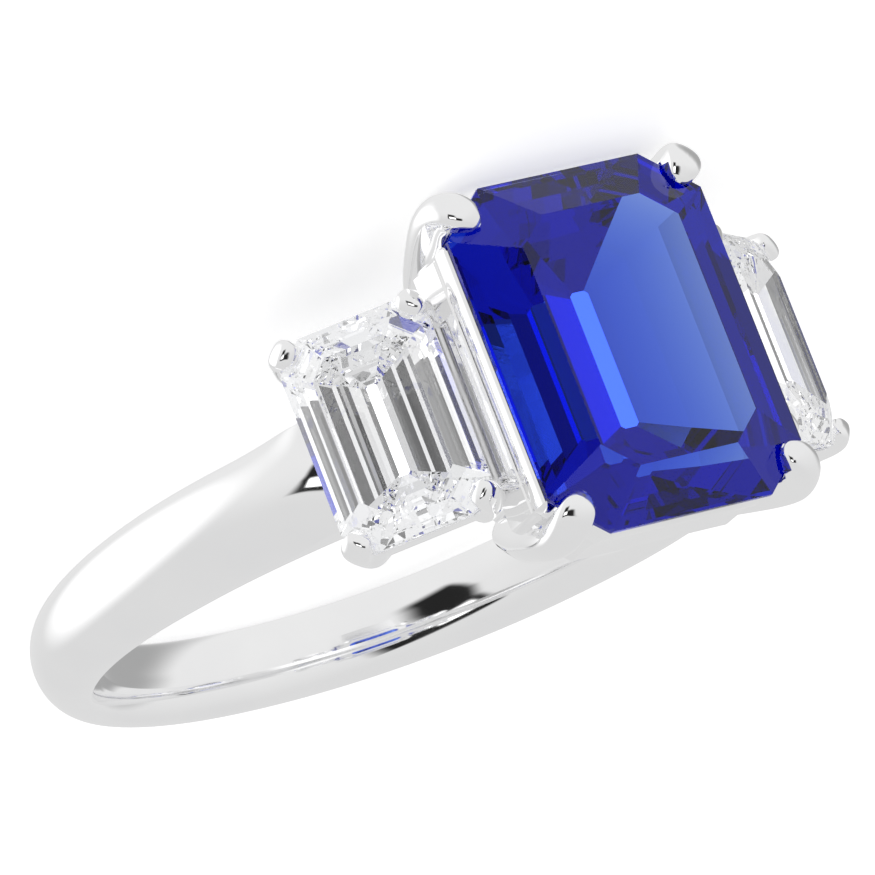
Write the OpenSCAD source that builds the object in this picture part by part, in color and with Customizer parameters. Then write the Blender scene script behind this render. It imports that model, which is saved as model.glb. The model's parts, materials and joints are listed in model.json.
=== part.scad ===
// Three stone ring: a domed band, one large step cut stone held by four
// pointed claws, and a smaller tilted step cut stone at each side.
//
// The shapes are worked out in the ring's own frame and laid down at the end.
// In the ring's frame X runs across the three stones, Y along the finger and
// Z from the centre of the finger hole up to the centre stone.
// As laid down, the ring rests on the far claws and the edge of the band,
// with the centre of the finger hole at the origin and Z up.

/* [Finger hole] */
// Inside diameter of the finger hole
bore_d = 17.3; // [16:0.1:21]

/* [Band] */
// Width of the band at the back of the finger
band_w_back = 2.2; // [1.8:0.05:2.8]
// Width of the band at the shoulders and under the stones
band_w_shoulder = 2.95; // [2.4:0.05:3.4]
// Thickness of the band at the back
band_t_back = 1.4; // [1.2:0.05:1.8]
// Thickness of the band at the shoulders
band_t_shoulder = 1.6; // [1.3:0.05:2]
// Thickness of the band where it passes under the stones
seat_t = 1.05; // [0.8:0.05:1.15]
// Height of the flat side at the end of each shoulder
shoulder_side_h = 1.0; // [0.5:0.05:1.2]
// How far the rounding of each inner edge runs in from the side, at the back
inner_round_w = 0.8; // [0.3:0.05:0.85]
// Height of that rounding above the bore
inner_round_h = 0.4; // [0.2:0.05:0.6]

/* [Centre stone] */
// Length along the finger
centre_l = 9.4; // [8:0.1:11]
// Width across the finger
centre_w = 7.6; // [6.5:0.1:8.5]
// Cut off each corner, measured across the finger
centre_cut_w = 1.4; // [0.8:0.05:1.8]
// Cut off each corner, measured along the finger
centre_cut_l = 1.2; // [0.8:0.05:1.8]
// Height of the crown above the girdle
centre_crown_h = 0.9; // [0.6:0.05:1.3]
// Width of the table across the finger
centre_table_w = 4.65; // [3.6:0.05:5.4]
// Length of the table along the finger
centre_table_l = 6.85; // [5.5:0.05:7.8]
// Thickness of the girdle
centre_girdle_t = 0.12; // [0.06:0.02:0.3]
// Depth of the pavilion under the girdle
centre_pavilion_h = 3.25; // [2.6:0.05:3.3]
// Length of the keel at the bottom of the pavilion
centre_keel_l = 3.3; // [2:0.1:4.5]
// Height of the girdle above the centre of the finger hole
centre_girdle_z = 13.1; // [13:0.1:14.5]

/* [Side stones] */
// Length along the finger
side_l = 5.8; // [5:0.1:6.6]
// Width across the finger
side_w = 4.0; // [3.4:0.1:4.4]
// Cut off each corner, measured both ways
side_cut = 0.75; // [0.5:0.05:1]
// Height of the crown above the girdle
side_crown_h = 0.45; // [0.3:0.05:0.8]
// Width of the table across the finger
side_table_w = 2.5; // [1.8:0.05:3]
// Length of the table along the finger
side_table_l = 4.2; // [3:0.05:4.8]
// Thickness of the girdle
side_girdle_t = 0.1; // [0.06:0.02:0.2]
// Depth of the pavilion under the girdle
side_pavilion_h = 1.75; // [1.4:0.05:1.9]
// Length of the keel at the bottom of the pavilion
side_keel_l = 2.2; // [1.2:0.1:3]
// Tilt of each side stone away from the centre stone, in degrees
side_tilt = 36; // [30:1:40]
// Distance of each side stone's centre from the middle of the ring
side_x = 5.78; // [5.6:0.02:6.2]
// Drop of each side stone's girdle below the centre stone's
side_drop = 2.6; // [2.1:0.05:2.6]

/* [Centre claws] */
// Width of each claw across its face
claw_w = 1.0; // [0.8:0.05:1.3]
// Thickness of each claw from its inner to its outer face
claw_t = 0.9; // [0.6:0.05:1.1]
// How far each claw tip reaches over the stone
claw_reach = 0.48; // [0.25:0.05:0.7]
// Height of each claw above the girdle
claw_top = 0.72; // [0.6:0.05:1.1]
// How far each claw leans in from the corner to its foot
claw_lean = 1.65; // [1.4:0.05:1.9]
// Shift of each claw from the middle of the cut corner towards the long side
claw_shift = 0.2; // [0:0.05:0.3]

/* [Side prongs] */
// Width of each prong across its face
prong_w = 0.76; // [0.6:0.05:1]
// Thickness of each prong from its inner to its outer face
prong_t = 0.52; // [0.4:0.05:0.7]
// How far each prong tip reaches over the stone
prong_reach = 0.28; // [0.2:0.05:0.5]
// Height of each prong above the girdle
prong_top = 0.48; // [0.4:0.05:0.7]
// How far each prong's foot reaches into the side of the band
prong_bite = 0.06; // [0.05:0.01:0.2]

/* [Rails] */
// Height of the seat rail, right under the girdle of the centre stone
seat_rail_h = 0.9; // [0.6:0.05:1]
// Thickness of the seat rail at its foot
seat_rail_t = 0.35; // [0.3:0.05:0.45]
// Depth of the seat rail's top under the girdle
seat_rail_depth = 0.35; // [0.35:0.05:0.5]
// Inset of the seat rail's outer face from the sides of the centre stone
seat_rail_inset = 0.05; // [0:0.05:0.1]
// Height of the lower rail of the centre stone
rail_h = 0.7; // [0.4:0.05:1]
// Thickness of the lower rail
rail_t = 0.55; // [0.35:0.05:0.7]
// Depth of the lower rail's top under the girdle of the centre stone
rail_depth = 1.6; // [1.3:0.05:1.9]
// Inset of the lower rail's outer face from the long sides of the centre stone
rail_inset_w = 0.55; // [0.4:0.05:0.7]
// Inset of the lower rail's outer face from the short sides of the centre stone
rail_inset_l = 0.4; // [0.25:0.05:0.55]
// Height of the rail under each side stone
side_rail_h = 0.55; // [0.3:0.05:0.7]
// Thickness of the rail under each side stone
side_rail_t = 0.32; // [0.25:0.02:0.4]
// Height of the base frame that joins the feet of the centre claws
base_h = 0.8; // [0.6:0.05:0.9]
// Width of the bars of the base frame
base_t = 0.8; // [0.6:0.05:1]

/* [Fit] */
// Air between a stone and the metal that holds it
stone_gap = 0.05; // [0.03:0.01:0.1]
// Air between the finger and the underside of the base frame
finger_gap = 0.1; // [0:0.05:0.2]

/* [Hidden] */

METAL = "silver";
BLUE = "royalblue";
CLEAR = "aliceblue";

bore_r = bore_d / 2;
past = 1;                 // how far a cutter runs past what it cuts

// Steps of a stone below the girdle, as shares: what is left of the way in to
// the keel, and the share of the pavilion's depth.
STEP_IN = 0;
STEP_ON = 1;
PAVILION_STEPS = [[0.84, 0.23], [0.63, 0.47], [0.37, 0.74], [0.07, 1]];
// Steps of a crown above the girdle, as shares of the way from the girdle to
// the table and of the crown's height. The centre stone has one broad bevel.
CENTRE_CROWN_STEPS = [[1, 1]];
SIDE_CROWN_STEPS = [[0.3, 0.36], [0.65, 0.71], [1, 1]];
TABLE_CUT = 0.62;         // corner cut of a table, as a share of the girdle's
RAIL_CUT = 0.62;          // and of the lower rail

// Sections of the band on one side, from the middle of the head round to the
// back: angle from the head, then shares of the way from the back's width to
// the shoulder's, of the flat side's height, and of the way from the seat's
// thickness to the band's. The thickness also tapers with the width.
ANGLE = 0;
WIDTH = 1;
FLAT = 2;
THICK = 3;
BAND_SECTIONS = [
    [0, 1, 0.75, 0],
    [27, 1, 0.75, 0],
    [31, 1, 0.85, 0.35],
    [36, 1, 1, 0.9],
    [41, 1, 0.95, 1],
    [46, 1, 0.5, 1],
    [53, 0.98, 0, 1],
    [70, 0.87, 0, 1],
    [90, 0.58, 0, 1],
    [120, 0.2, 0, 1],
    [150, 0.06, 0, 1],
    [180, 0, 0, 1]
];
BAND_STEPS = 88;          // sections all the way round
EDGE_STEPS = 3;           // facets on each inner edge
DOME_STEPS = 5;           // facets on each half of the dome
LEAST_ROUND = 0.05;       // rounding of the inner edges at the shoulders
LEAST_SIDE = 0.08;        // flat side where the table gives none
LEAST_DOME = 0.2;         // height left for the dome over a flat side
BORE_ALLOWANCE = 0.3;     // metal inside the bore, cut away with it

// Stations along a claw from its tip to its foot. The inner and the outer line
// of its side view are given as out from the cut corner and up from the girdle.
// Outwards is a share of the claw's thickness, inwards of its reach above the
// girdle and of its lean below it. Up is a share of the claw's top above the
// girdle, and of its depth below it. The last column is a share of its width.
IN_OUT = 0;
IN_UP = 1;
OUT_OUT = 2;
OUT_UP = 3;
BREADTH = 4;
CLAW_STATIONS = [
    [-1, 0.54, -0.98, 0.63, 0.16],
    [-0.8, 0.42, -0.72, 0.77, 0.5],
    [-0.3, 0.25, -0.02, 0.92, 0.86],
    [0.06, 0.05, 0.48, 0.7, 1],
    [0.06, -0.02, 0.86, 0.18, 1],
    [0.04, -0.08, 1.02, -0.09, 1],
    [-0.16, -0.22, 0.92, -0.24, 1],
    [-0.34, -0.41, 0.52, -0.46, 1],
    [-0.6, -0.68, -0.05, -0.73, 1],
    [-1, -1, -0.51, -1, 1]
];
PRONG_STATIONS = [
    [-1, 0.52, -0.98, 0.66, 0.4],
    [-0.6, 0.38, -0.5, 0.92, 0.8],
    [0.02, 0.18, 0.2, 1, 1],
    [0.09, 0.04, 0.68, 0.6, 1],
    [0.09, -0.03, 0.86, 0.05, 1],
    [0.06, -0.08, 0.86, -0.14, 1.05],
    [-0.18, -0.3, 0.6, -0.36, 1.4],
    [-0.47, -0.55, -0.1, -0.66, 1.25],
    [-1, -1, -0.63, -1, 0.9]
];
// Half of a claw's section: share of its half width, and share of the way from
// the inner face to the outer one.
CLAW_SECTION = [[1, 0], [1, 0.6], [0.78, 0.85], [0.42, 0.96], [0, 1]];
STATION_STEPS = 2;        // sections worked out between two stations

base_z = bore_r + finger_gap;
claw_depth = centre_girdle_z - base_z;
side_girdle_z = centre_girdle_z - side_drop;
prong_depth = norm([side_x, side_girdle_z]) - bore_r - seat_t / 2;
// From the middle of a side stone's cut corner in to the side of the band
prong_lean = ((side_l - side_cut - band_w_shoulder) / 2 + prong_bite) * sqrt(2) + stone_gap;

// Share in one column of the band's table at any angle
function band_share(angle, column) =
    lookup(angle, [for (row = BAND_SECTIONS) [row[ANGLE], row[column]]]);

// One cubic through four rows, at the share t between the middle two
function through(rows, i, t) =
    let (last = len(rows) - 1,
         p = rows[max(i - 1, 0)], q = rows[i],
         r = rows[min(i + 1, last)], s = rows[min(i + 2, last)])
    0.5 * (2 * q + (r - p) * t + (2 * p - 5 * q + 4 * r - s) * t * t
           + (3 * q - p - 3 * r + s) * t * t * t);

// Half outline of the band's section, from the middle of the inner face round
// to the top of the dome, as distance to the side and height above the bore.
// At the back the section is nearly oval. At the shoulder the inner edge is
// almost sharp and the dome meets the flat side at an edge.
function band_half(angle) =
    let (wide = band_share(angle, WIDTH),
         round = 1 - wide * wide,
         flat = band_share(angle, FLAT),
         half = (band_w_back + (band_w_shoulder - band_w_back) * wide) / 2,
         full = band_t_back + (band_t_shoulder - band_t_back) * wide,
         thick = seat_t + (full - seat_t) * band_share(angle, THICK),
         edge_w = LEAST_ROUND + (inner_round_w - LEAST_ROUND) * round,
         edge_h = LEAST_ROUND + (inner_round_h - LEAST_ROUND) * round,
         side = min(edge_h + LEAST_SIDE + shoulder_side_h * flat, thick - LEAST_DOME))
    concat(
        [for (a = [0 : 90 / EDGE_STEPS : 90])
            [half - edge_w * (1 - sin(a)), edge_h * (1 - cos(a))]],
        [for (k = [0 : DOME_STEPS]) let (a = 90 * k / DOME_STEPS)
            [half * cos(a), side + (thick - side) * pow(sin(a), 1 + flat)]]);

// A half outline and its mirror image, which share the last point
function mirrored(half) = concat(
    half, [for (i = [len(half) - 2 : -1 : 0]) [-half[i][0], half[i][1]]]);

// The blank's inner face lies inside the bore, which is cut at the end
function band_ring(angle) =
    [for (p = mirrored(band_half(180 - abs(180 - angle))))
        let (radius = bore_r + (p[1] > 0 ? p[1] : -BORE_ALLOWANCE))
        [radius * sin(angle), p[0], radius * cos(angle)]];

// Faces of a tube through rings of n points each
function tube_faces(rings, n, closed) = concat(
    [for (i = [0 : rings - (closed ? 1 : 2)], j = [0 : n - 1])
        let (a = i * n, b = ((i + 1) % rings) * n, k = (j + 1) % n)
        each [[a + j, b + j, b + k], [a + j, b + k, a + k]]],
    closed ? [] : [[for (j = [0 : n - 1]) j],
                   [for (j = [n - 1 : -1 : 0]) (rings - 1) * n + j]]);

module tube(rings, closed = false) {
    polyhedron(
        points = [for (ring = rings, p = ring) p],
        faces = tube_faces(len(rings), len(rings[0]), closed));
}

// Corners of an octagon: a rectangle with its corners cut
function octagon(w, l, cut_w, cut_l) = [
    [w / 2, -l / 2 + cut_l], [w / 2, l / 2 - cut_l],
    [w / 2 - cut_w, l / 2], [-w / 2 + cut_w, l / 2],
    [-w / 2, l / 2 - cut_l], [-w / 2, -l / 2 + cut_l],
    [-w / 2 + cut_w, -l / 2], [w / 2 - cut_w, -l / 2]];

function at_height(points, z) = [for (p = points) [p[0], p[1], z]];

// A step cut stone with its girdle's middle at the origin: an octagon at the
// table, at each step of the crown, at both edges of the girdle and at each
// step of the pavilion down to the keel
module step_cut_stone(w, l, cut_w, cut_l, table_w, table_l, crown_h, crown_steps,
                      girdle_t, pavilion_h, keel_l) {
    g = girdle_t / 2;
    table = octagon(table_w, table_l, cut_w * TABLE_CUT, cut_l * TABLE_CUT);
    girdle = octagon(w, l, cut_w, cut_l);
    crown = [for (s = crown_steps)
        at_height(girdle + (table - girdle) * s[STEP_IN], g + (crown_h - g) * s[STEP_ON])];
    tube(concat(pavilion(w, l, cut_w, cut_l, g, pavilion_h, keel_l),
                [at_height(girdle, g)], crown));
}

// Rings of a pavilion from the keel up to the girdle's lower edge, with every
// side moved out by a gap
function pavilion(w, l, cut_w, cut_l, g, h, keel_l, gap = 0) = concat(
    [for (i = [len(PAVILION_STEPS) - 1 : -1 : 0])
        let (s = PAVILION_STEPS[i])
        at_height(pavilion_octagon(w, l, cut_w, cut_l, keel_l, s[STEP_IN], gap),
                  -g - (h - g) * s[STEP_ON])],
    [at_height(grown_octagon(w, l, cut_w, cut_l, gap), -g)]);

// Outline of a pavilion where a share of the stone's width is left
function pavilion_octagon(w, l, cut_w, cut_l, keel_l, share, gap = 0) =
    grown_octagon(w * share, keel_l + (l - keel_l) * share, cut_w * share, cut_l * share, gap);

// An octagon with every side moved out by a gap, or in when the gap is negative
function grown_octagon(w, l, cut_w, cut_l, gap) =
    let (more = gap * (2 - sqrt(2)))
    octagon(w + 2 * gap, l + 2 * gap, cut_w + more, cut_l + more);

// Corner that a claw stands at: the middle of the cut corner with a shift
// towards the long side, the outward direction, and the direction along the cut
PLACE = 0;
OUTWARD = 1;
ALONG = 2;
function corner(w, l, cut_w, cut_l, shift) =
    let (out = [cut_l, cut_w] / norm([cut_l, cut_w]), along = [out[1], -out[0]])
    [[w - cut_w, l - cut_l] / 2 + along * shift, out, along];

// Stations of a claw as lengths: out and up for both lines, and the width
function claw_stations(table, width, thick, reach, lean, top, depth) =
    [for (row = table)
        [out_of(row[IN_OUT], row[IN_UP], thick, reach, lean), up_of(row[IN_UP], top, depth),
         out_of(row[OUT_OUT], row[OUT_UP], thick, reach, lean), up_of(row[OUT_UP], top, depth),
         width * row[BREADTH]]];
function out_of(share, up, thick, reach, lean) = share * (share > 0 ? thick : up > 0 ? reach : lean);
function up_of(share, top, depth) = share * (share > 0 ? top : depth);

// Sections of a claw at the corner with both coordinates positive, in the
// frame of a stone whose girdle's middle is the origin
function claw_rings(stations, place, gap) =
    [for (i = [0 : len(stations) - 2], k = [0 : STATION_STEPS - 1])
        claw_ring(through(stations, i, k / STATION_STEPS), place, gap),
     claw_ring(stations[len(stations) - 1], place, gap)];

function claw_ring(row, place, gap) =
    let (inner = [row[IN_OUT] + gap, row[IN_UP]],
         outer = [row[OUT_OUT] + gap, row[OUT_UP]],
         half = row[BREADTH] / 2)
    [for (s = mirrored(CLAW_SECTION))
        let (p = inner + (outer - inner) * s[1],
             xy = place[PLACE] + place[OUTWARD] * p[0] - place[ALONG] * s[0] * half)
        [xy[0], xy[1], p[1]]];

centre_claw = claw_rings(
    claw_stations(CLAW_STATIONS, claw_w, claw_t, claw_reach, claw_lean, claw_top, claw_depth),
    corner(centre_w, centre_l, centre_cut_w, centre_cut_l, claw_shift), stone_gap);
side_prong = claw_rings(
    claw_stations(PRONG_STATIONS, prong_w, prong_t, prong_reach, prong_lean, prong_top,
                  prong_depth),
    corner(side_w, side_l, side_cut, side_cut, 0), stone_gap);

module four_corners() {
    for (a = [0, 1], b = [0, 1])
        mirror([a, 0, 0]) mirror([0, b, 0]) children();
}

// The frame of the centre stone and of each side stone
module at_centre() { translate([0, 0, centre_girdle_z]) children(); }
module at_side(sign) {
    translate([sign * side_x, 0, side_girdle_z]) rotate([0, sign * side_tilt, 0]) children();
}

// A frame between two octagons, from z = 0 down
module rail(outer, inner, h) {
    translate([0, 0, -h]) linear_extrude(h) difference() {
        polygon(outer);
        polygon(inner);
    }
}

module band_blank() {
    tube([for (i = [0 : BAND_STEPS - 1]) band_ring(360 * i / BAND_STEPS)], closed = true);
}

// The centre stone bears on the slope at the top of its seat rail
module seat_rail() {
    w = centre_w - 2 * seat_rail_inset;
    l = centre_l - 2 * seat_rail_inset;
    difference() {
        translate([0, 0, -seat_rail_depth])
            rail(octagon(w, l, centre_cut_w, centre_cut_l),
                 grown_octagon(w, l, centre_cut_w, centre_cut_l, -seat_rail_t), seat_rail_h);
        tube(pavilion(centre_w, centre_l, centre_cut_w, centre_cut_l, centre_girdle_t / 2,
                      centre_pavilion_h, centre_keel_l, stone_gap));
    }
}

module centre_head() {
    w = centre_w - 2 * rail_inset_w;
    l = centre_l - 2 * rail_inset_l;
    cut_w = centre_cut_w * RAIL_CUT;
    cut_l = centre_cut_l * RAIL_CUT;
    at_centre() {
        four_corners() tube(centre_claw);
        seat_rail();
        translate([0, 0, -rail_depth])
            rail(octagon(w, l, cut_w, cut_l),
                 grown_octagon(w, l, cut_w, cut_l, -rail_t), rail_h);
    }
}

// The base frame's outer faces pass through the feet of the centre claws
foot = centre_claw[len(centre_claw) - 1][len(CLAW_SECTION) - 1];
module base_frame() {
    w = 2 * foot[0];
    l = 2 * foot[1];
    translate([0, 0, base_z + base_h])
        rail(octagon(w, l, base_t, base_t), grown_octagon(w, l, base_t, base_t, -base_t),
             base_h);
}

// Each side stone bears on the inner edge of its rail: the share of its width
// that is left there gives the depth of the rail's top
bearing = 1 - 2 * (side_rail_t + 2 * stone_gap) / side_w;
side_rail_depth = side_girdle_t / 2 + (side_pavilion_h - side_girdle_t / 2)
    * lookup(bearing, concat([[1, 0]], PAVILION_STEPS));
module side_basket(sign) {
    at_side(sign) {
        four_corners() tube(side_prong);
        translate([0, 0, -side_rail_depth])
            rail(grown_octagon(side_w, side_l, side_cut, side_cut, -stone_gap),
                 pavilion_octagon(side_w, side_l, side_cut, side_cut, side_keel_l,
                                  bearing, stone_gap),
                 side_rail_h);
    }
}

// How low the ring's points reach when it is laid down at a tilt: the head's
// claws at one end and the band's far edge at the other
function lowest(points, tilt) = max([for (p = points) p[1] * cos(tilt) - p[2] * sin(tilt)]);
head_points = [for (ring = centre_claw, p = ring) p + [0, 0, centre_girdle_z]];
back_points = band_ring(180);
MOST_TILT = 30;
HALVINGS = 30;            // times that the range of the tilt is halved
function resting_tilt(low = 0, high = MOST_TILT, step = HALVINGS) =
    let (tilt = (low + high) / 2)
    step == 0 ? tilt
    : lowest(head_points, tilt) > lowest(back_points, tilt) ?
        resting_tilt(tilt, high, step - 1) : resting_tilt(low, tilt, step - 1);
rest_tilt = resting_tilt();

// Lays the ring on its side: the stones face -Y and the ring leans back on
// the claws of one side
module laid_down() { rotate([-rest_tilt, 0, 0]) rotate([90, 180, 0]) children(); }

module ring_mount() {
    color(METAL) laid_down() difference() {
        union() {
            band_blank();
            centre_head();
            base_frame();
            side_basket(1);
            side_basket(-1);
        }
        rotate([90, 0, 0])
            cylinder(r = bore_r, h = band_w_shoulder + centre_l + 2 * past, center = true, $fn = 96);
    }
}

module centre_stone() {
    color(BLUE) laid_down() at_centre()
        step_cut_stone(centre_w, centre_l, centre_cut_w, centre_cut_l,
                       centre_table_w, centre_table_l, centre_crown_h,
                       CENTRE_CROWN_STEPS, centre_girdle_t, centre_pavilion_h,
                       centre_keel_l);
}

module side_stone(sign) {
    color(CLEAR) laid_down() at_side(sign)
        step_cut_stone(side_w, side_l, side_cut, side_cut, side_table_w, side_table_l,
                       side_crown_h, SIDE_CROWN_STEPS, side_girdle_t,
                       side_pavilion_h, side_keel_l);
}

module left_side_stone() { side_stone(-1); }
module right_side_stone() { side_stone(1); }

ring_mount();
centre_stone();
left_side_stone();
right_side_stone();
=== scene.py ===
# %% [markdown]
# # A three stone ring
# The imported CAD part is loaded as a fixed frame. Everything made below is
# worked out in the ring's own frame in millimetres: X runs across the three
# stones, Y along the finger, Z from the finger hole's centre up to the centre
# stone. One function then lays each piece down in the part's frame in metres.

# %% Load the frame
import bpy
import json
import math
import numpy as np
from mathutils import Matrix, Vector


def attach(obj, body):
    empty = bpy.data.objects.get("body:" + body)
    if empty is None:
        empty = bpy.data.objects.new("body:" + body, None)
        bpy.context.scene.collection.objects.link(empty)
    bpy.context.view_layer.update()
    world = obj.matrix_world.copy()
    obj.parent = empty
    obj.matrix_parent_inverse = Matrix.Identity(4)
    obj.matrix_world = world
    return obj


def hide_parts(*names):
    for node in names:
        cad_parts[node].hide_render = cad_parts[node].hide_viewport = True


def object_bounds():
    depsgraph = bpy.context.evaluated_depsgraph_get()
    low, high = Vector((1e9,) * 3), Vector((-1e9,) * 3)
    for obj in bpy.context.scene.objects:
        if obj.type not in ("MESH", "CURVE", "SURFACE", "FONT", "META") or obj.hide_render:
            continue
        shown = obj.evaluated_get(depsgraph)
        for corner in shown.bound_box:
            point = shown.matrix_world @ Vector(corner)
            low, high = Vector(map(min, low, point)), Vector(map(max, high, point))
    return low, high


MM = 1000                 # millimetres to the metre
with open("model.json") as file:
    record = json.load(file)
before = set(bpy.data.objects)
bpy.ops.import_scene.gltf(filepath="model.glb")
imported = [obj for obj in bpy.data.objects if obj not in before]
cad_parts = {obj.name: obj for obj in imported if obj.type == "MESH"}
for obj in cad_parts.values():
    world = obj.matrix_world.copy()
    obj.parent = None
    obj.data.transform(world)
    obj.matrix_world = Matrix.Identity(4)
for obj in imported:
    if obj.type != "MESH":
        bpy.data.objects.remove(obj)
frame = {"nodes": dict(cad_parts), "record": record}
cad_low, cad_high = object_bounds()
print("CAD box", [round(v * MM, 2) for v in cad_low], [round(v * MM, 2) for v in cad_high])

# %% [markdown]
# ## Laying the ring down
# The ring rests on its side: two claws and the back of the band touch the
# table. The record states the finger hole's axis in that pose, and the lean
# follows from it. It could be typed in, but this way it can't go out of date.

# %% From the ring's frame to the part's
# The rows say where the part's X, Y and Z lie in the upright ring's frame.
hole_axis = frame["record"]["mounts"][0]["axis"]
LEAN = math.atan2(hole_axis[1], hole_axis[2])
UPRIGHT_TO_FLAT = np.array([[-1.0, 0, 0], [0, 0, -1], [0, -1, 0]])
LEAN_TURN = np.array([[1, 0, 0],
                      [0, math.cos(LEAN), math.sin(LEAN)],
                      [0, -math.sin(LEAN), math.cos(LEAN)]])
TO_PART = LEAN_TURN @ UPRIGHT_TO_FLAT


def laid_down(points):
    """Points (..., 3) in the ring's frame in mm, turned to the resting pose, in metres."""
    return points @ TO_PART.T / MM


print("lean", round(math.degrees(LEAN), 2), "degrees")

# %% [markdown]
# ## The camera
# The photograph is a close product view with a long lens. It could be matched
# by eye, but a view from far away is sensitive to small turns, so the camera's
# place and its two image directions were worked out from the stones' corners in
# the ring's frame. Here they are laid down with the ring. The image is square.

# %% Camera
CAMERA_PLACE = np.array([-163.95, -72.88, 264.85])
IMAGE_RIGHT = np.array([0.83446, -0.35360, 0.42267])
IMAGE_DOWN = np.array([-0.19229, -0.90561, -0.37800])
VIEW_ANGLE = 4.0258       # degrees across the square image

right = TO_PART @ IMAGE_RIGHT
up = -(TO_PART @ IMAGE_DOWN)
back = np.cross(right, up)
turn = Matrix([[right[i], up[i], back[i]] for i in range(3)]).to_4x4()
place = Vector(laid_down(CAMERA_PLACE))
camera_data = bpy.data.cameras.new("camera")
camera_data.sensor_width = 36.0                 # millimetres, a common sensor
camera_data.angle = math.radians(VIEW_ANGLE)
camera_data.clip_start, camera_data.clip_end = 0.01, 10.0
camera = bpy.data.objects.new("camera", camera_data)
bpy.context.scene.collection.objects.link(camera)
camera.matrix_world = Matrix.Translation(place) @ turn
bpy.context.scene.camera = camera
print("camera at", [round(v, 4) for v in place])

# %% [markdown]
# ## Sizes
# The same named sizes as in the part's source, in millimetres, and the same
# short tables of shares, so that each surface lies on its solid.

# %% Sizes of the ring
BORE_R = 8.65
BAND_W_BACK, BAND_W_SHOULDER = 2.2, 2.95
BAND_T_BACK, BAND_T_SHOULDER, SEAT_T = 1.4, 1.6, 1.05
SHOULDER_SIDE_H = 1.0
INNER_ROUND_W, INNER_ROUND_H = 1.0, 0.42
LEAST_ROUND, LEAST_SIDE, LEAST_DOME = 0.05, 0.08, 0.2
CENTRE = dict(w=7.6, l=9.4, cut_w=1.4, cut_l=1.2, z=13.1, girdle_t=0.12, pavilion_h=3.25,
              keel_l=3.3)
SIDE = dict(w=4.0, l=5.8, cut_w=0.75, cut_l=0.75, x=5.78, z=10.5, tilt=36, girdle_t=0.1,
            pavilion_h=1.75, keel_l=2.2)
STONE_GAP = 0.05          # air between a stone and its metal
FINGER_GAP = 0.1          # metal of the head starts this far outside the finger hole

# angle from the head, share of the widening, share of the flat side's height,
# share of the way from the seat's thickness to the band's
BAND_SECTIONS = np.array([
    [0, 1, 0.75, 0], [27, 1, 0.75, 0], [31, 1, 0.85, 0.35], [36, 1, 1, 0.9],
    [41, 1, 0.95, 1], [46, 1, 0.5, 1], [53, 0.98, 0, 1], [70, 0.87, 0, 1],
    [90, 0.58, 0, 1], [120, 0.2, 0, 1], [150, 0.06, 0, 1], [180, 0, 0, 1]])

# inner line out and up, outer line out and up, width, from tip to foot
CLAW_STATIONS = np.array([
    [-1, 0.54, -0.98, 0.63, 0.16], [-0.8, 0.42, -0.72, 0.77, 0.5],
    [-0.3, 0.25, -0.02, 0.92, 0.86], [0.06, 0.05, 0.48, 0.7, 1],
    [0.06, -0.02, 0.86, 0.18, 1], [0.04, -0.08, 1.02, -0.09, 1],
    [-0.16, -0.22, 0.92, -0.24, 1], [-0.34, -0.41, 0.52, -0.46, 1],
    [-0.6, -0.68, -0.05, -0.73, 1], [-1, -1, -0.51, -1, 1]])
PRONG_STATIONS = np.array([
    [-1, 0.52, -0.98, 0.66, 0.4], [-0.6, 0.38, -0.5, 0.92, 0.8],
    [0.02, 0.18, 0.2, 1, 1], [0.09, 0.04, 0.68, 0.6, 1],
    [0.09, -0.03, 0.86, 0.05, 1], [0.06, -0.08, 0.86, -0.14, 1.05],
    [-0.18, -0.3, 0.6, -0.36, 1.4], [-0.47, -0.55, -0.1, -0.66, 1.25],
    [-1, -1, -0.63, -1, 0.9]])
CLAW = dict(width=1.0, thick=0.9, reach=0.48, lean=1.65, top=0.72, shift=0.2,
            depth=CENTRE["z"] - BORE_R - FINGER_GAP)
PRONG_BITE = 0.06         # how far a prong's foot reaches into the band
PRONG = dict(width=0.76, thick=0.52, reach=0.28, top=0.48, shift=0.0,
             lean=((SIDE["l"] - SIDE["cut_l"] - BAND_W_SHOULDER) / 2 + PRONG_BITE)
             * math.sqrt(2) + STONE_GAP,
             depth=math.hypot(SIDE["x"], SIDE["z"]) - BORE_R - SEAT_T / 2)
print("claw depth", round(CLAW["depth"], 3), "prong depth", round(PRONG["depth"], 3))

# %% [markdown]
# ## From a grid of points to a mesh
# Most pieces here are a closed outline carried along a path. That is a grid of
# points: one row for each place along the path, one column for each point of
# the outline. A single function turns such a grid into a closed mesh.

# %% Grid to mesh
def grid_mesh(name, grid, loop=False):
    """A closed mesh from a grid (rows, columns, 3). Neighbouring rows are joined by
    quads, and each row closes on itself. The ends are joined too when loop is true,
    and otherwise each end is closed by a fan to its middle."""
    rows, columns = grid.shape[:2]
    points = grid.reshape(-1, 3)
    i, j = np.meshgrid(np.arange(rows if loop else rows - 1), np.arange(columns), indexing="ij")
    near, far = i * columns, (i + 1) % rows * columns
    side = (j + 1) % columns
    quads = np.stack([near + j, far + j, far + side, near + side], -1).reshape(-1, 4)
    faces = quads.tolist()
    if not loop:
        ends = np.stack([grid[0].mean(0), grid[-1].mean(0)])
        points = np.concatenate([points, ends])
        k = np.arange(columns)
        nxt = (k + 1) % columns
        first, last = rows * columns, rows * columns + 1
        start = (rows - 1) * columns
        faces += np.stack([np.full(columns, first), k, nxt], -1).tolist()
        faces += np.stack([np.full(columns, last), start + nxt, start + k], -1).tolist()
    mesh = bpy.data.meshes.new(name)
    mesh.from_pydata(laid_down(points).tolist(), [], faces)
    mesh.update()
    return outward(mesh)


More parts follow.
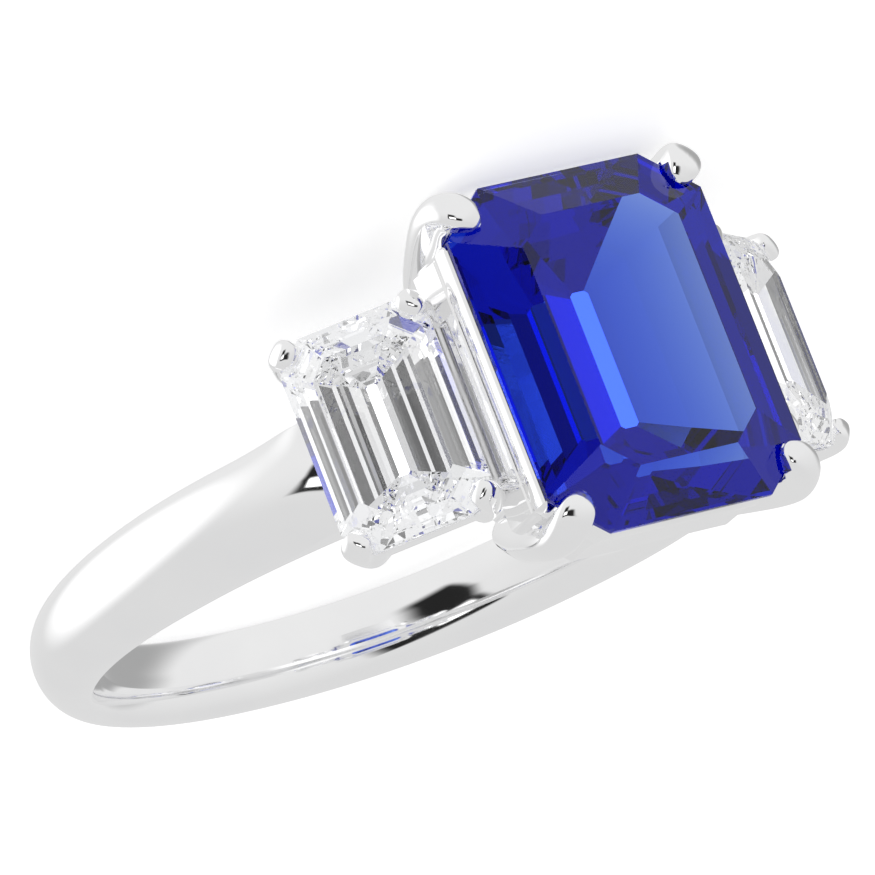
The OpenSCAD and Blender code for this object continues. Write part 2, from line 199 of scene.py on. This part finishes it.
def outward(mesh):
    """Turns every face outwards: the signed volume, a sum of triple products of the
    corners of all triangles, is positive when they do."""
    mesh.calc_loop_triangles()
    tris = np.empty(len(mesh.loop_triangles) * 3, np.int32)
    mesh.loop_triangles.foreach_get("vertices", tris)
    co = np.empty(len(mesh.vertices) * 3)
    mesh.vertices.foreach_get("co", co)
    a, b, c = np.moveaxis(co.reshape(-1, 3)[tris.reshape(-1, 3)], 1, 0)
    if np.einsum("ij,ij->", a, np.cross(b, c)) < 0:
        mesh.flip_normals()
    return mesh


# %% Smooth curves through a table
def smooth_rows(table, steps):
    """A table of stations carried on as a Catmull-Rom curve: between two rows each
    column follows the cubic through the four nearest rows, sampled steps times."""
    padded = np.concatenate([table[:1], table, table[-1:]])
    t = np.linspace(0, 1, steps, endpoint=False)[:, None]
    p, q, r, s = (padded[k:k + len(table) - 1, None, :] for k in range(4))
    curve = 0.5 * (2 * q + (r - p) * t + (2 * p - 5 * q + 4 * r - s) * t ** 2
                   + (3 * q - p - 3 * r + s) * t ** 3)
    return np.concatenate([curve.reshape(-1, table.shape[1]), table[-1:]])


# %% Adding a piece of metal
pieces = []


def add_metal(mesh, node="ring_mount"):
    """Links a mesh as a smooth piece that stands for a CAD node and rides on the
    root body."""
    piece = bpy.data.objects.new(mesh.name, mesh)
    bpy.context.scene.collection.objects.link(piece)
    mesh.polygons.foreach_set("use_smooth", [True] * len(mesh.polygons))
    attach(piece, "root")
    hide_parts(node)
    pieces.append(piece)
    return piece


# %% [markdown]
# ## The band
# The band is the hoop round the finger, narrow at the back and wide and crisp at
# the shoulders. A curve with a bevel profile would give a hoop, but only one
# outline all round. Here a grid of points lets the outline change on its way:
# a flat inner face, a small rounded edge, a flat side and a dome. Where the flat
# side is tall, at the shoulders, the dome meets it at a crisp edge. The table's
# shares are softened over a few degrees, which takes out the kinks between its
# rows, and the steps are small, because a polished band has no facets.

# %% Band
AROUND = 720              # rows round the finger
WIDTH_SOFT, EDGE_SOFT, SEAT_SOFT = 4, 1.5, 1.2      # degrees that each share is softened over
FACE_SHARES = np.linspace(0, 1, 5)[:-1]
EDGE_ARC = np.radians(np.linspace(0, 90, 19))
SIDE_SHARES = np.linspace(0, 1, 6)[1:-1]
DOME_ARC = np.radians(90 * np.linspace(0, 1, 41) ** 1.25)       # closer together at its edge
angles = np.arange(AROUND) * 360 / AROUND
from_head = np.minimum(angles, 360 - angles)


def softened(values, degrees):
    """Values round the band after a bell shaped average over some degrees, worked
    out as a product of their Fourier series."""
    frequency = np.fft.rfftfreq(AROUND, 1 / AROUND)
    bell = np.exp(-0.5 * (frequency * math.radians(degrees)) ** 2)
    return np.fft.irfft(np.fft.rfft(values) * bell, AROUND)


widen, flat, thicken = (
    softened(np.interp(from_head, BAND_SECTIONS[:, 0], BAND_SECTIONS[:, c]), d)
    for c, d in ((1, WIDTH_SOFT), (2, EDGE_SOFT), (3, SEAT_SOFT)))


def band_grid():
    """Rows round the finger, columns round the outline. The outline's half runs from
    the middle of the inner face: a straight line, a quarter circle, a straight side,
    then the dome, whose height is the sine of its angle to a power between 1 and 2."""
    wide, crisp, full = widen[:, None], flat[:, None], thicken[:, None]
    half = (BAND_W_BACK + (BAND_W_SHOULDER - BAND_W_BACK) * wide) / 2
    thick = BAND_T_BACK + (BAND_T_SHOULDER - BAND_T_BACK) * wide
    thick = SEAT_T + (thick - SEAT_T) * full
    edge_w = LEAST_ROUND + (INNER_ROUND_W - LEAST_ROUND) * (1 - wide ** 2)
    edge_h = LEAST_ROUND + (INNER_ROUND_H - LEAST_ROUND) * (1 - wide ** 2)
    side = np.minimum(edge_h + LEAST_SIDE + SHOULDER_SIDE_H * crisp, thick - LEAST_DOME)
    x = np.concatenate([
        (half - edge_w) * FACE_SHARES,
        half - edge_w * (1 - np.sin(EDGE_ARC)),
        half + 0 * SIDE_SHARES,
        half * np.cos(DOME_ARC)], 1)
    z = np.concatenate([
        0 * half * FACE_SHARES,
        edge_h * (1 - np.cos(EDGE_ARC)),
        edge_h + (side - edge_h) * SIDE_SHARES,
        side + (thick - side) * np.sin(DOME_ARC) ** (1 + crisp)], 1)
    x = np.concatenate([x, -x[:, -2:0:-1]], 1)
    z = np.concatenate([z, z[:, -2:0:-1]], 1)
    a = np.radians(angles)[:, None]
    return np.stack([(BORE_R + z) * np.sin(a), x, (BORE_R + z) * np.cos(a)], -1)


band = add_metal(grid_mesh("band", band_grid(), loop=True))
print("band faces", len(band.data.polygons))

# %% [markdown]
# ## Claws and prongs
# Four pointed claws hold the centre stone at its cut corners, and four prongs
# with small beads hold each side stone. A claw could be sculpted, but then every
# one would differ. Each is a D shaped outline carried from its tip, over the
# stone's edge and down to its foot, drawn together to a rounded point, and one
# grid serves for all corners by mirroring.

# %% A claw
CLAW_ROWS = 10            # rows from one station to the next
CURVE_STEPS = 5           # points from one outline point to the next
TIP_ARC = np.radians(np.linspace(5, 90, 7))[:-1]
TIP_LENGTH = 0.5          # of the outline's mean radius
CLAW_OUTLINE = np.array([[0, 0], [0.86, 0], [0.97, 0.03], [1, 0.12], [1, 0.55],
                         [0.9, 0.76], [0.66, 0.91], [0.33, 0.98], [0, 1]])


def claw_outline():
    """The D shape: its half outline as a smooth curve, then its mirror image."""
    half = smooth_rows(CLAW_OUTLINE, CURVE_STEPS)
    return np.concatenate([half, half[-2:0:-1] * [-1, 1]])


def claw_grid(stations, size, stone):
    """Rows from tip to foot. A row's middle runs from its inner line's point to its
    outer line's point, and its width lies along the cut corner. The first rows
    shrink towards the tip like a quarter circle, so that the tip is round."""
    out, high = stations[:, [0, 2]], stations[:, [1, 3]]
    out = out * np.where(out > 0, size["thick"], np.where(high > 0, size["reach"], size["lean"]))
    high = high * np.where(high > 0, size["top"], size["depth"])
    rows = smooth_rows(np.column_stack([out + STONE_GAP, high, stations[:, 4]]), CLAW_ROWS)
    inner, outer, half = rows[:, [0, 2]], rows[:, [1, 3]], size["width"] * rows[:, 4] / 2
    d = claw_outline()
    side_view = inner[:, None] + (outer - inner)[:, None] * d[None, :, 1:]
    breadth = half[:, None] * d[None, :, 0]
    out = np.array([stone["cut_l"], stone["cut_w"]])
    out = out / np.linalg.norm(out)
    along = np.array([out[1], -out[0]])
    corner = np.array([stone["w"] - stone["cut_w"], stone["l"] - stone["cut_l"]]) / 2
    xy = (corner + along * size["shift"] + out * side_view[..., :1]
          - along * breadth[..., None])
    grid = np.concatenate([xy, side_view[..., 1:]], -1)
    middle = grid[0].mean(0)
    ahead = middle - grid[2].mean(0)
    length = TIP_LENGTH * np.linalg.norm(grid[0] - middle, axis=1).mean()
    ahead = ahead / np.linalg.norm(ahead) * length
    tip = (middle + (grid[0] - middle) * np.sin(TIP_ARC)[:, None, None]
           + ahead * np.cos(TIP_ARC)[:, None, None])
    return np.concatenate([tip, grid])


# %% Places of the stones
def in_centre(points):
    """From the centre stone's frame to the ring's."""
    return points + [0, 0, CENTRE["z"]]


def in_side(points, sign):
    """From a side stone's frame to the ring's: turned about Y by its tilt, then moved."""
    a = math.radians(SIDE["tilt"]) * sign
    turn = np.array([[math.cos(a), 0, math.sin(a)], [0, 1, 0], [-math.sin(a), 0, math.cos(a)]])
    return points @ turn.T + [sign * SIDE["x"], 0, SIDE["z"]]


# %% Claws and prongs
claw = claw_grid(CLAW_STATIONS, CLAW, CENTRE)
prong = claw_grid(PRONG_STATIONS, PRONG, SIDE)
for x in (-1, 1):
    for y in (-1, 1):
        name = f"{'left' if x < 0 else 'right'}_{'near' if y < 0 else 'far'}"
        add_metal(grid_mesh(f"claw_{name}", in_centre(claw * [x, y, 1])))
        for sign in (-1, 1):
            basket = "left" if sign < 0 else "right"
            add_metal(grid_mesh(f"prong_{basket}_{name}", in_side(prong * [x, y, 1], sign)))
print("claws and prongs", len(pieces) - 1)

# %% [markdown]
# ## Rails
# The rails are frames of straight bars with cut corners, soldered between the
# claws. They could be cut from a block, but their outlines follow the stones',
# so each is the stone's octagon, moved in or out, with a bar's outline carried
# round it. A small bevel softens the edges, as a polisher leaves them.

# %% Octagons
PAVILION_LEFT = [1, 0.84, 0.63, 0.37, 0.07]     # share of the width left
PAVILION_DOWN = [0, 0.23, 0.47, 0.74, 1]        # share of the depth


def octagon(w, l, cut_w, cut_l, grow=0.0):
    """Corners of a rectangle with cut corners, every side moved out by grow."""
    more = grow * (2 - math.sqrt(2))
    x, y, cx, cy = w / 2 + grow, l / 2 + grow, cut_w + more, cut_l + more
    return np.array([[x, cy - y], [x, y - cy], [x - cx, y], [cx - x, y],
                     [-x, y - cy], [-x, cy - y], [cx - x, -y], [x - cx, -y]])


def girdle_octagon(stone, inset):
    """A stone's own outline with every side moved in."""
    return octagon(stone["w"], stone["l"], stone["cut_w"], stone["cut_l"], grow=-inset)


def pavilion_at(stone, depth, grow):
    """The pavilion's octagon at a depth under the girdle, every side moved out by grow."""
    g = stone["girdle_t"] / 2
    share = np.interp((depth - g) / (stone["pavilion_h"] - g), PAVILION_DOWN, PAVILION_LEFT)
    return octagon(stone["w"] * share, stone["keel_l"] + (stone["l"] - stone["keel_l"]) * share,
                   stone["cut_w"] * share, stone["cut_l"] * share, grow)


# %% [markdown]
# ## The seat rail
# Right under its widest edge the centre stone bears on a rail: a half round bar,
# with a flat wall under it that closes the side down to the lower rail. Bar and
# wall are one frame of a few rows here, so that no seam shows between them. Its
# faces are smooth round the bar, and sharp where they turn by a larger angle.

# %% Seat rail
SEAT_RAIL = dict(bar_h=0.75, wall_h=1.2, t=0.35, depth=0.35, inset=0.05, round=0.2,
                 wall_inset=0.1, wall_step=0.06)
SLOPE_END = 0.72                                # depth at which the bearing slope has ended
BAR_ANGLES = np.radians(np.linspace(-75, 80, 10))
SHARP_TURN = math.radians(25)


def seat_rail_grid(size):
    """Rows round the stone's octagon, columns round the rail's outline: up the wall,
    over the bar, whose inset grows with one minus an angle's cosine and whose height
    with its sine, in to the pavilion grown by the gap, and down the inside."""
    bar_foot = size["depth"] + size["bar_h"]
    foot = bar_foot + size["wall_h"]
    wall = girdle_octagon(CENTRE, size["inset"] + size["wall_inset"])
    inner = girdle_octagon(CENTRE, size["inset"] + size["t"])
    outline = [(wall, foot), (wall, bar_foot + size["wall_step"])]
    outline += [(girdle_octagon(CENTRE, size["inset"] + size["round"] * (1 - math.cos(a))),
                 size["depth"] + size["bar_h"] * (1 - math.sin(a)) / 2) for a in BAR_ANGLES]
    outline += [(pavilion_at(CENTRE, size["depth"], STONE_GAP), size["depth"]),
                (inner, SLOPE_END), (inner, foot)]
    return np.stack([np.column_stack([ring, np.full(len(ring), -depth)])
                     for ring, depth in outline], 1)


seat_rail = add_metal(grid_mesh("seat_rail", in_centre(seat_rail_grid(SEAT_RAIL)), loop=True))
seat_rail.data.set_sharp_from_angle(angle=SHARP_TURN)
print("seat rail faces", len(seat_rail.data.polygons))

# %% [markdown]
# ## The lower rail, the base frame and the side rails
# Under the seat rail a second rail joins the claws, and at their feet a base
# frame sits on the band. Each side stone has one rail, which follows its
# pavilion at the gap's distance. All have square bars, so one function of four
# corners makes them, and a bevel is the quickest way to soften all their edges.

# %% Square bars
RAIL = dict(h=0.7, t=0.55, depth=1.6, inset_w=0.55, inset_l=0.4, cut=0.62, edge=0.08)
BASE = dict(h=0.8, t=0.8, z=BORE_R + FINGER_GAP, edge=0.08)
SIDE_RAIL = dict(h=0.55, t=0.32, edge=0.05)
EDGE_STEPS = 3                                  # faces across a softened edge


def rail_grid(outer, inner, top, height):
    """Rows round the octagon, columns round the bar's four corners."""
    low, high = np.full((8, 1), top - height), np.full((8, 1), top)
    return np.stack([np.hstack([outer, low]), np.hstack([outer, high]),
                     np.hstack([inner, high]), np.hstack([inner, low])], 1)


def add_rail(name, grid, edge):
    """Adds a rail whose edges are rounded by a bevel, edge millimetres wide."""
    piece = add_metal(grid_mesh(name, grid, loop=True))
    bevel = piece.modifiers.new("softened edges", "BEVEL")
    bevel.width = edge / MM
    bevel.segments = EDGE_STEPS
    bevel.harden_normals = True


# %% Lower rail
outer = (CENTRE["w"] - 2 * RAIL["inset_w"], CENTRE["l"] - 2 * RAIL["inset_l"],
         CENTRE["cut_w"] * RAIL["cut"], CENTRE["cut_l"] * RAIL["cut"])
add_rail("gallery_rail", in_centre(rail_grid(
    octagon(*outer), octagon(*outer, grow=-RAIL["t"]), -RAIL["depth"], RAIL["h"])), RAIL["edge"])
print("lower rail", round(outer[0], 2), "by", round(outer[1], 2), "mm")

# %% Base frame
foot = claw[-1][np.argmax(claw[-1][:, :2].sum(1))]      # the foot's outermost corner
outer = 2 * foot[0], 2 * foot[1], BASE["t"], BASE["t"]
add_rail("base_frame", rail_grid(
    octagon(*outer), octagon(*outer, grow=-BASE["t"]), BASE["z"] + BASE["h"], BASE["h"]),
    BASE["edge"])
print("foot of a claw", foot.round(3))

# %% Side rails
share = 1 - 2 * (SIDE_RAIL["t"] + 2 * STONE_GAP) / SIDE["w"]
half_girdle = SIDE["girdle_t"] / 2
depth = half_girdle + (SIDE["pavilion_h"] - half_girdle) * np.interp(
    1 - share, 1 - np.array(PAVILION_LEFT), PAVILION_DOWN)
for sign in (-1, 1):
    grid = rail_grid(girdle_octagon(SIDE, STONE_GAP), pavilion_at(SIDE, depth, STONE_GAP),
                     -depth, SIDE_RAIL["h"])
    add_rail(f"{'left' if sign < 0 else 'right'}_rail", in_side(grid, sign), SIDE_RAIL["edge"])
print("pieces of metal", len(pieces))

# %% [markdown]
# ## Polished metal
# Polished white gold is nearly colourless and sharp, and what it shows is the
# studio around it. A trace of roughness and a faint waviness from polishing
# keep it from looking like a computed mirror. Rays inside the stones pass by the
# metal: a jewel is cut so that it shows light and not its setting.

# %% Material helpers
def new_material(name):
    """A material with its node tree and its shader."""
    material = bpy.data.materials.new(name)
    material.use_nodes = True
    tree = material.node_tree
    shader = next(n for n in tree.nodes if n.type == "BSDF_PRINCIPLED")
    return material, tree, shader


def noise(tree, per_metre, detail):
    """A soft noise over Object coordinates, so many swellings to the metre."""
    coordinates = tree.nodes.new("ShaderNodeTexCoord")
    texture = tree.nodes.new("ShaderNodeTexNoise")
    texture.inputs["Scale"].default_value = per_metre
    texture.inputs["Detail"].default_value = detail
    tree.links.new(coordinates.outputs["Object"], texture.inputs["Vector"])
    return texture.outputs["Fac"]


def ramp(tree, value, *stops):
    """A colour ramp between two stops of position and colour."""
    node = tree.nodes.new("ShaderNodeValToRGB")
    for stop, (position, colour) in zip(node.color_ramp.elements, stops):
        stop.position = position
        stop.color = (*colour, 1)
    tree.links.new(value, node.inputs["Fac"])
    return node.outputs["Color"]


def spread(tree, value, low, high):
    """Carries the middle part of a noise over to values from low to high."""
    node = tree.nodes.new("ShaderNodeMapRange")
    tree.links.new(value, node.inputs["Value"])
    for name, number in (("From Min", 0.35), ("From Max", 0.65), ("To Min", low), ("To Max", high)):
        node.inputs[name].default_value = number
    return node.outputs["Result"]


def bumpy(tree, shader, value, height):
    """Leans the surface as if the noise were a relief that many metres high."""
    node = tree.nodes.new("ShaderNodeBump")
    node.inputs["Distance"].default_value = height
    tree.links.new(value, node.inputs["Height"])
    tree.links.new(node.outputs["Normal"], shader.inputs["Normal"])


# %% Metal
CLOUDS, HAZE, WAVES = 420, 900, 500             # swellings to the metre
GOLD_DARK, GOLD_LIGHT = (0.93, 0.93, 0.935), (0.96, 0.96, 0.96)
GOLD_ROUGHNESS = 0.03, 0.075
GOLD_RELIEF = 3e-6        # metres

metal, tree, shader = new_material("polished white gold")
shader.inputs["Metallic"].default_value = 1.0
tree.links.new(ramp(tree, noise(tree, CLOUDS, 3), (0.3, GOLD_DARK), (0.7, GOLD_LIGHT)),
               shader.inputs["Base Color"])
tree.links.new(spread(tree, noise(tree, HAZE, 4), *GOLD_ROUGHNESS), shader.inputs["Roughness"])
bumpy(tree, shader, noise(tree, WAVES, 1), GOLD_RELIEF)
for piece in pieces:
    piece.data.materials.append(metal)
    piece.visible_transmission = False
print("metal nodes", len(tree.nodes))

# %% [markdown]
# ## Cut stones
# A cut stone is clear, and its look comes from light that is bent at the
# crown and thrown back by the flat steps underneath. The picture inside could be
# painted on, but it would stand still when the ring is turned. The CAD stones
# have the flat facets that make it, so they stay and only get the right glass: a
# high index of refraction, hardly any roughness or waviness from the polishing
# wheel, and for the centre stone a deep blue body.

# %% Stones
STONE_ROUGHNESS = 0.0, 0.004
SAPPHIRE = dict(index=1.77, zones=260, tints=((0.88, 0.92, 1.0), (0.97, 0.98, 1.0)),
                relief=4e-7)
DIAMOND = dict(index=2.42, zones=500, tints=((0.97, 0.98, 1.0), (1, 1, 1)), relief=2e-7)
SAPPHIRE_PASSES = (0.0, 0.3, 0.88)              # share of red, green and blue that passes
SAPPHIRE_DEPTH = 780.0                          # how fast the rest is lost, per metre
SAPPHIRE_SHEEN = (0.5, 0.5, 0.6)                # tint of what its surface mirrors


def cut_stone(name, index, zones, tints, relief):
    """A clear stone: its faint tint wanders between two colours, with so many zones
    to the metre, and what its polish leaves is a relief so many metres high."""
    material, tree, shader = new_material(name)
    tree.links.new(ramp(tree, noise(tree, zones, 1), (0.35, tints[0]), (0.65, tints[1])),
                   shader.inputs["Base Color"])
    tree.links.new(spread(tree, noise(tree, HAZE, 2), *STONE_ROUGHNESS),
                   shader.inputs["Roughness"])
    bumpy(tree, shader, noise(tree, WAVES, 1), relief)
    shader.inputs["IOR"].default_value = index
    shader.inputs["Transmission Weight"].default_value = 1.0
    return material, tree, shader


blue, tree, shader = cut_stone("blue sapphire", **SAPPHIRE)
shader.inputs["Specular Tint"].default_value = (*SAPPHIRE_SHEEN, 1)
body = tree.nodes.new("ShaderNodeVolumeAbsorption")
body.inputs["Color"].default_value = (*SAPPHIRE_PASSES, 1)
body.inputs["Density"].default_value = SAPPHIRE_DEPTH
output = next(n for n in tree.nodes if n.type == "OUTPUT_MATERIAL")
tree.links.new(body.outputs["Volume"], output.inputs["Volume"])
clear = cut_stone("clear diamond", **DIAMOND)[0]

# %% Materials on the stones
for node, material in (("centre_stone", blue), ("left_side_stone", clear),
                       ("right_side_stone", clear)):
    stone = frame["nodes"][node]
    for slot in stone.material_slots:
        slot.material = material
    print(node, len(stone.data.polygons), "facets as triangles",
          "smooth" if stone.data.polygons[0].use_smooth else "flat")

# %% [markdown]
# ## The floor
# The floor is plain and pale. It glows a little by itself, like a light table,
# so that the ring's shadow stays faint. Metal and stones don't mirror it: they
# mirror the room, as on a small glass stand.

# %% Floor
FLOOR_REACH = 4.0         # metres from the middle to each side
mesh = bpy.data.meshes.new("floor")
mesh.from_pydata([(x * FLOOR_REACH, y * FLOOR_REACH, cad_low[2])
                  for x, y in ((-1, -1), (1, -1), (1, 1), (-1, 1))], [], [(0, 1, 2, 3)])
floor = bpy.data.objects.new("floor", mesh)
bpy.context.scene.collection.objects.link(floor)
floor.visible_glossy = False
floor.visible_transmission = False
pale, tree, shader = new_material("pale floor")
shader.inputs["Base Color"].default_value = (0.9, 0.9, 0.9, 1)
shader.inputs["Roughness"].default_value = 0.9
shader.inputs["Specular IOR Level"].default_value = 0.0
shader.inputs["Emission Color"].default_value = (1, 1, 1, 1)
shader.inputs["Emission Strength"].default_value = 0.5
mesh.materials.append(pale)

# %% [markdown]
# ## The studio
# Polished metal has no look of its own, it shows the room. Lamps and real cards
# could stand round the ring, but in a mirror their edges are hard. Here the room
# is a soft white tent, drawn in the world's nodes as cards of light and shade in
# fixed directions. Each direction is given as the photographer sees it, standing
# at the camera: degrees to the right and degrees up. In front of the ring hangs
# a bright window on black cards, which gives polished tips their small white
# glints with black round them.

# %% The empty room
TENT_FADE = -0.4, 0.7     # heights between which the tent's shade changes
world = bpy.data.worlds.new("studio")
bpy.context.scene.world = world
world.use_nodes = True
room = world.node_tree
direction = room.nodes.new("ShaderNodeTexCoord").outputs["Generated"]


# %% Sums in the room's nodes
def math_node(operation, *values):
    """One Math node whose inputs are sockets or plain numbers."""
    node = room.nodes.new("ShaderNodeMath")
    node.operation = operation
    for socket, value in zip(node.inputs, values):
        if isinstance(value, bpy.types.NodeSocket):
            room.links.new(value, socket)
        else:
            socket.default_value = value
    return node.outputs[0]


def along(axis):
    """How far the looked-at direction points along a fixed axis: a dot product."""
    node = room.nodes.new("ShaderNodeVectorMath")
    node.operation = "DOT_PRODUCT"
    room.links.new(direction, node.inputs[0])
    node.inputs[1].default_value = tuple(axis)
    return node.outputs["Value"]


def step_up(value, start, end):
    """Rises smoothly from 0 to 1 while the value goes from start to end."""
    node = room.nodes.new("ShaderNodeMapRange")
    node.interpolation_type = "SMOOTHSTEP"
    room.links.new(value, node.inputs["Value"])
    node.inputs["From Min"].default_value = start
    node.inputs["From Max"].default_value = end
    return node.outputs["Result"]


# %% Cards
def seen_at(to_right, to_up):
    """The unit direction that many degrees to the right and up of the camera."""
    a, e = math.radians(to_right), math.radians(to_up)
    return (right * math.sin(a) * math.cos(e) + up * math.sin(e)
            + back * math.cos(a) * math.cos(e))


def mixed(level, card_level, share):
    """level + (card_level - level) * share."""
    step = math_node("SUBTRACT", card_level, level)
    return math_node("ADD", level, math_node("MULTIPLY", step, share))


def round_card(level, card_level, to_right, to_up, inner, outer):
    """A round soft card: full within the inner angle, gone beyond the outer one."""
    dot = along(seen_at(to_right, to_up))
    share = step_up(dot, math.cos(math.radians(outer)), math.cos(math.radians(inner)))
    return mixed(level, card_level, share)


def square_card(level, card_level, left, right_end, low, top, soft):
    """A card between two angles across and two angles up. Its four edges fade over
    the angles in soft: left, right, low and top."""
    ahead = along(back)
    across = math_node("ARCTAN2", along(right), ahead)
    rise = math_node("ARCSINE", along(up))
    share = None
    for value, edge, fade, sign in ((across, left, soft[0], 1), (across, right_end, soft[1], -1),
                                    (rise, low, soft[2], 1), (rise, top, soft[3], -1)):
        part = step_up(value, math.radians(edge - sign * fade / 2),
                       math.radians(edge + sign * fade / 2))
        share = part if share is None else math_node("MULTIPLY", share, part)
    return mixed(level, card_level, share)


def room_light(low_level, high_level, round_cards, square_cards):
    """The tent's own shade, from below to above, with each card laid over the last."""
    level = mixed(low_level, high_level, step_up(along(up), *TENT_FADE))
    for card in round_cards:
        level = round_card(level, *card)
    for card in square_cards:
        level = square_card(level, *card)
    return level


# %% Studio light
# brightness, degrees right, degrees up, full within, gone beyond
TENT_ROUND = [(1.35, -100, 6, 18, 48), (0.4, 145, 26, 10, 34)]
# brightness, left, right, low, top, fade of those four edges
TENT_SQUARE = [(0.02, -27, 22, -2, 17, (5, 12, 3, 7)),
               (0.02, -26, -2, 12, 33, (5, 12, 4, 8)),
               (2.2, -22, -3, 4, 15, (3, 3, 2, 5))]
tent = room_light(0.74, 0.86, TENT_ROUND, TENT_SQUARE)

# %% [markdown]
# What a stone throws back comes from other directions than what metal mirrors,
# and jewellery is often lit twice, once for each. Rays that leave a stone see
# their own set of cards: a bright one straight behind the ring for the keel, a
# bright one at the upper right, and narrow dark strips for the steps' stripes.

# %% Light through the stones
BEHIND_ROUND = [(0.25, 114, 24, 10, 22), (0.2, 138, 16, 8, 18), (0.4, 32, 36, 8, 16),
                (2.0, 68, 38, 6, 16), (0.3, -132, -13, 5, 12), (2.6, 180, 0, 12, 24)]
BEHIND_SQUARE = [(1.1, -50, 10, 6, 34, (6, 6, 4, 4)),
                 (0.14, -13, 3, 8, 36, (2, 2, 4, 4)),
                 (0.2, -36, -26, 8, 36, (2, 2, 4, 4)),
                 (0.02, -24, -20.5, 6, 36, (1, 1, 4, 4)),
                 (0.12, -47, -42, 4, 30, (1, 1, 4, 4)),
                 (1.1, -118, -84, -30, 6, (6, 6, 6, 6))]
BEHIND_SQUARE += [(0.04, left, left + 3, -34, 6, (1, 1, 6, 6)) for left in (-110, -102, -94)]
behind = room_light(0.84, 0.92, BEHIND_ROUND, BEHIND_SQUARE)
leaves_stone = room.nodes.new("ShaderNodeLightPath").outputs["Is Transmission Ray"]

# %% [markdown]
# ## The picture's settings
# Light turns many times inside a cut stone before it finds a way out. Rays that
# are given up too early leave black facets, so many turns are allowed.

# %% The room and the picture's settings
TURNS, TURNS_OUTSIDE = 32, 16
background = room.nodes["Background"]
room.links.new(mixed(tent, behind, leaves_stone), background.inputs["Color"])
background.inputs["Strength"].default_value = 1.0
scene = bpy.context.scene
scene.view_settings.view_transform = "Standard"
scene.cycles.max_bounces = TURNS
scene.cycles.transmission_bounces = TURNS
scene.cycles.glossy_bounces = TURNS
scene.cycles.transparent_max_bounces = TURNS_OUTSIDE
print("room nodes", len(room.nodes))
